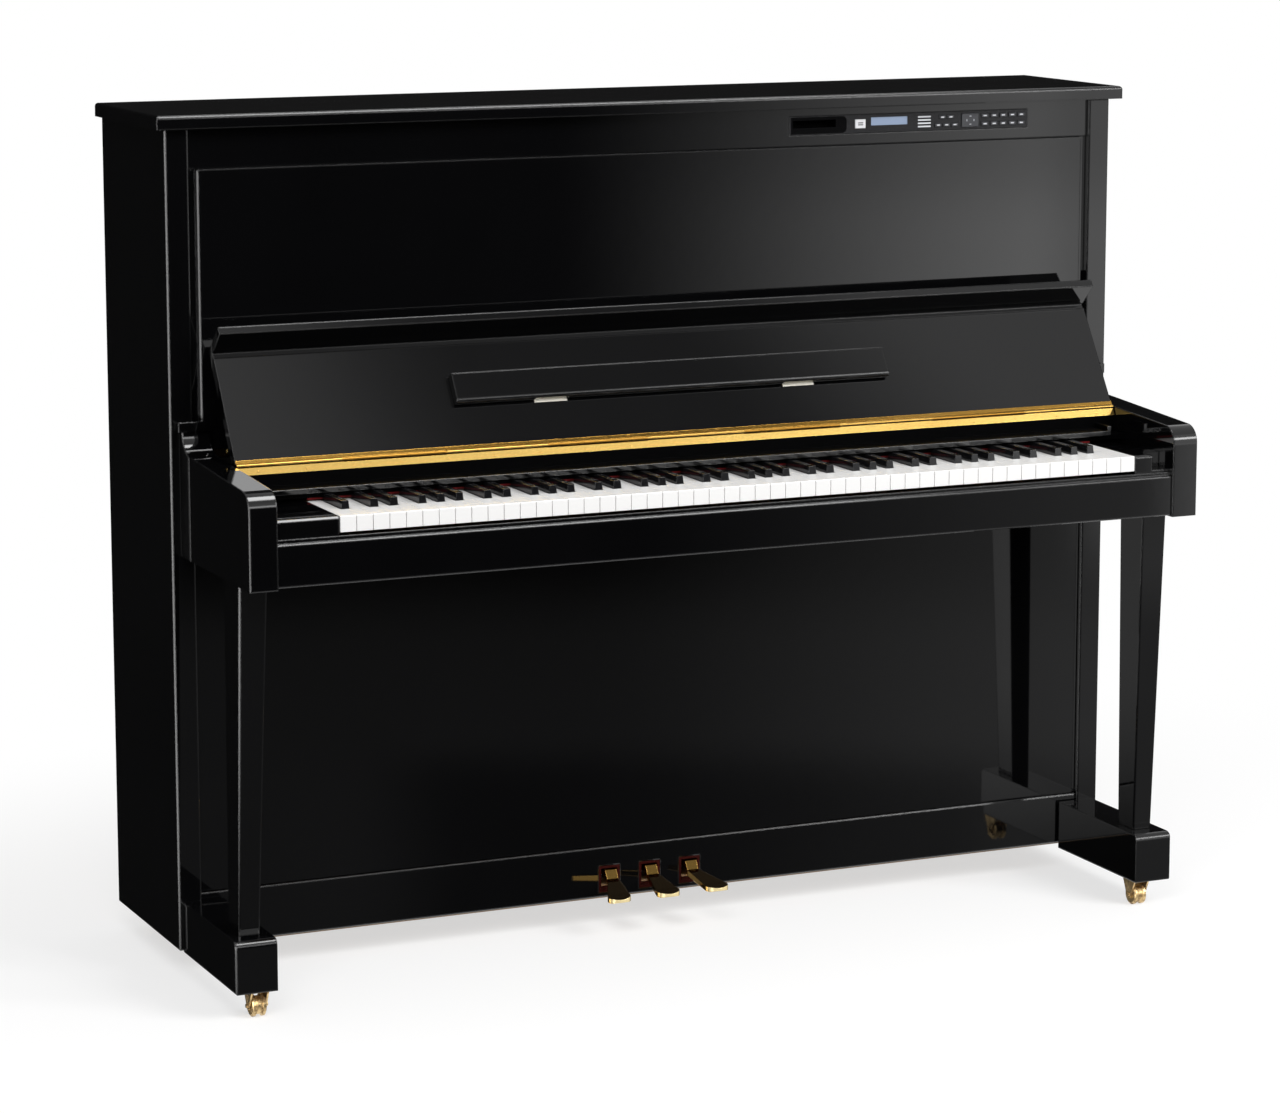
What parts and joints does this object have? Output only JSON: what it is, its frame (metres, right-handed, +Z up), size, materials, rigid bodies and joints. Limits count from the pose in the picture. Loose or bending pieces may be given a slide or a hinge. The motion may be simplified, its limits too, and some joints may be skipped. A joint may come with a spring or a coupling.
{
  "type": "upright piano",
  "caption": "Black lacquered upright piano with hinged lid and fallboard, folding music desk, playable keys with hammers, pedals, casters and a control panel.",
  "frame": {"origin": "on the floor, at the middle of the width and of the depth, which is the plane of the case sides' front edges", "axes": "+X to the treble end (the player's right), +Y to the back, +Z up"},
  "size_m": [1.517, 0.582, 1.215],
  "materials": {
    "black_lacquer": "polished",
    "bare_wood": "satin",
    "spruce": "satin",
    "cast_plate": "satin",
    "brass": "polished",
    "aged_brass": "satin",
    "steel": "satin",
    "white_key": "gloss",
    "black_key": "gloss",
    "felt": "matte",
    "red_felt": "matte",
    "dark_plastic": "satin",
    "grey_button": "satin",
    "silver_button": "satin",
    "display": "gloss"
  },
  "bodies": {
    "case": {"side_left": "black_lacquer", "side_right": "black_lacquer", "toe_blocks": "black_lacquer", "legs": "black_lacquer", "arm_left": "black_lacquer", "arm_right": "black_lacquer", "key_bed": "bare_wood", "key_slip": "black_lacquer", "key_blocks": "black_lacquer", "upper_panel": "black_lacquer", "top_rail": "black_lacquer", "lower_panel": "black_lacquer", "bottom_rail": "black_lacquer", "bottom_board": "bare_wood", "nameboard": "black_lacquer", "nameboard_felt": "red_felt", "caster_forks": "aged_brass", "pedal_brackets": "steel", "lid_hinges": "brass", "fallboard_hinge": "brass", "control_panel": "dark_plastic", "display_window": "display", "key_frame": "bare_wood", "back_frame": "bare_wood", "soundboard": "spruce", "iron_plate": "cast_plate", "tuning_pins": "steel", "strings": "steel", "action_frame": "cast_plate"},
    "lid": {"lid": "black_lacquer", "lid_hinge_leaves": "brass"},
    "fallboard": {"fallboard": "black_lacquer", "fallboard_leaf": "brass", "music_desk_hinges": "steel"},
    "music_desk": {"music_desk": "black_lacquer"},
    "pedal_soft": {"pedal_soft": "brass"},
    "pedal_practice": {"pedal_practice": "brass"},
    "pedal_sustain": {"pedal_sustain": "brass"},
    "dampers": {"dampers": "felt"},
    "caster_wheel_front_left": {"caster_wheel_front_left": "aged_brass"},
    "caster_wheel_front_right": {"caster_wheel_front_right": "aged_brass"},
    "caster_wheel_rear_left": {"caster_wheel_rear_left": "aged_brass"},
    "caster_wheel_rear_right": {"caster_wheel_rear_right": "aged_brass"},
    "power_button": {"power_button": "silver_button"},
    "menu_buttons": {"menu_buttons": "grey_button"},
    "cursor_pad": {"cursor_pad": "grey_button"},
    "transport_buttons": {"transport_buttons": "grey_button"},
    "bass_keys": {"naturals_bass": "white_key", "sharps_bass": "black_key"},
    "bass_hammers": {"hammers_bass": "felt"},
    "treble_keys": {"naturals_treble": "white_key", "sharps_treble": "black_key"},
    "treble_hammers": {"hammers_treble": "felt"},
    "key_c4": {"key_c4": "white_key"},
    "hammer_c4": {"hammer_c4": "felt"},
    "key_c_sharp_4": {"key_c_sharp_4": "black_key"},
    "hammer_c_sharp_4": {"hammer_c_sharp_4": "felt"},
    "key_d4": {"key_d4": "white_key"},
    "hammer_d4": {"hammer_d4": "felt"}
  },
  "joints": [
    {"name": "lid_hinge", "type": "hinge", "parent": "case", "child": "lid", "pos_m": [0, 0.279, 1.199], "axis": [-1, 0, 0], "range_deg": [0, 100]},
    {"name": "fallboard_hinge", "type": "hinge", "parent": "case", "child": "fallboard", "pos_m": [0, -0.1185, 0.745], "axis": [1, 0, 0], "range_deg": [0, 134]},
    {"name": "music_desk_fold", "type": "hinge", "parent": "fallboard", "child": "music_desk", "pos_m": [0, -0.08363, 0.8117], "axis": [-1, 0, 0], "range_deg": [-92, 0]},
    {"name": "pedal_soft_press", "type": "hinge", "parent": "case", "child": "pedal_soft", "pos_m": [-0.081, 0.072, 0.082], "axis": [1, 0, 0], "range_deg": [0, 7], "stiffness_Nm_per_rad": 25, "springref_deg": -3.44},
    {"name": "pedal_practice_press", "type": "hinge", "parent": "case", "child": "pedal_practice", "pos_m": [-0.016, 0.072, 0.082], "axis": [1, 0, 0], "range_deg": [0, 7], "stiffness_Nm_per_rad": 25, "springref_deg": -3.44},
    {"name": "pedal_sustain_press", "type": "hinge", "parent": "case", "child": "pedal_sustain", "pos_m": [0.049, 0.072, 0.082], "axis": [1, 0, 0], "range_deg": [0, 7], "stiffness_Nm_per_rad": 25, "springref_deg": -3.44},
    {"name": "damper_lift", "type": "hinge", "parent": "case", "child": "dampers", "pos_m": [0, 0.124, 0.9047], "axis": [1, 0, 0], "range_deg": [0, 3.2]},
    {"name": "caster_roll_front_left", "type": "hinge", "parent": "case", "child": "caster_wheel_front_left", "pos_m": [-0.702, -0.208, 0.0155], "axis": [1, 0, 0], "continuous": true},
    {"name": "caster_roll_front_right", "type": "hinge", "parent": "case", "child": "caster_wheel_front_right", "pos_m": [0.692, -0.208, 0.0155], "axis": [1, 0, 0], "continuous": true},
    {"name": "caster_roll_rear_left", "type": "hinge", "parent": "case", "child": "caster_wheel_rear_left", "pos_m": [-0.666, 0.251, 0.0155], "axis": [1, 0, 0], "continuous": true},
    {"name": "caster_roll_rear_right", "type": "hinge", "parent": "case", "child": "caster_wheel_rear_right", "pos_m": [0.666, 0.251, 0.0155], "axis": [1, 0, 0], "continuous": true},
    {"name": "power_button_press", "type": "slide", "parent": "case", "child": "power_button", "axis": [0, 1, 0], "range_m": [0, 0.0012], "stiffness_N_per_m": 600, "springref_m": -0.001},
    {"name": "menu_buttons_press", "type": "slide", "parent": "case", "child": "menu_buttons", "axis": [0, 1, 0], "range_m": [0, 0.0012], "stiffness_N_per_m": 600, "springref_m": -0.001},
    {"name": "cursor_pad_press", "type": "slide", "parent": "case", "child": "cursor_pad", "axis": [0, 1, 0], "range_m": [0, 0.0012], "stiffness_N_per_m": 600, "springref_m": -0.001},
    {"name": "transport_buttons_press", "type": "slide", "parent": "case", "child": "transport_buttons", "axis": [0, 1, 0], "range_m": [0, 0.0012], "stiffness_N_per_m": 600, "springref_m": -0.001},
    {"name": "bass_keys_press", "type": "hinge", "parent": "case", "child": "bass_keys", "pos_m": [0, -0.062, 0.674], "axis": [1, 0, 0], "range_deg": [0, 2.65], "stiffness_Nm_per_rad": 80, "springref_deg": -3.44},
    {"name": "bass_hammers_strike", "type": "hinge", "parent": "case", "child": "bass_hammers", "pos_m": [0, 0.092, 0.9247], "axis": [-1, 0, 0], "range_deg": [0, 21]},
    {"name": "treble_keys_press", "type": "hinge", "parent": "case", "child": "treble_keys", "pos_m": [0, -0.062, 0.674], "axis": [1, 0, 0], "range_deg": [0, 2.65], "stiffness_Nm_per_rad": 80, "springref_deg": -3.44},
    {"name": "treble_hammers_strike", "type": "hinge", "parent": "case", "child": "treble_hammers", "pos_m": [0, 0.092, 0.9247], "axis": [-1, 0, 0], "range_deg": [0, 21]},
    {"name": "key_c4_press", "type": "hinge", "parent": "case", "child": "key_c4", "pos_m": [0, -0.062, 0.674], "axis": [1, 0, 0], "range_deg": [0, 2.65], "stiffness_Nm_per_rad": 2, "springref_deg": -3.44},
    {"name": "hammer_c4_strike", "type": "hinge", "parent": "case", "child": "hammer_c4", "pos_m": [0, 0.092, 0.9247], "axis": [-1, 0, 0], "range_deg": [0, 21]},
    {"name": "key_c_sharp_4_press", "type": "hinge", "parent": "case", "child": "key_c_sharp_4", "pos_m": [0, -0.062, 0.674], "axis": [1, 0, 0], "range_deg": [0, 2.65], "stiffness_Nm_per_rad": 2, "springref_deg": -3.44},
    {"name": "hammer_c_sharp_4_strike", "type": "hinge", "parent": "case", "child": "hammer_c_sharp_4", "pos_m": [0, 0.092, 0.9247], "axis": [-1, 0, 0], "range_deg": [0, 21]},
    {"name": "key_d4_press", "type": "hinge", "parent": "case", "child": "key_d4", "pos_m": [0, -0.062, 0.674], "axis": [1, 0, 0], "range_deg": [0, 2.65], "stiffness_Nm_per_rad": 2, "springref_deg": -3.44},
    {"name": "hammer_d4_strike", "type": "hinge", "parent": "case", "child": "hammer_d4", "pos_m": [0, 0.092, 0.9247], "axis": [-1, 0, 0], "range_deg": [0, 21]}
  ],
  "couplings": [
    {"joint": "damper_lift", "follows": "pedal_sustain_press", "ratio": 0.45},
    {"joint": "bass_hammers_strike", "follows": "bass_keys_press", "ratio": 7.85},
    {"joint": "treble_hammers_strike", "follows": "treble_keys_press", "ratio": 7.85},
    {"joint": "hammer_c4_strike", "follows": "key_c4_press", "ratio": 7.85},
    {"joint": "hammer_c_sharp_4_strike", "follows": "key_c_sharp_4_press", "ratio": 7.85},
    {"joint": "hammer_d4_strike", "follows": "key_d4_press", "ratio": 7.85}
  ]
}
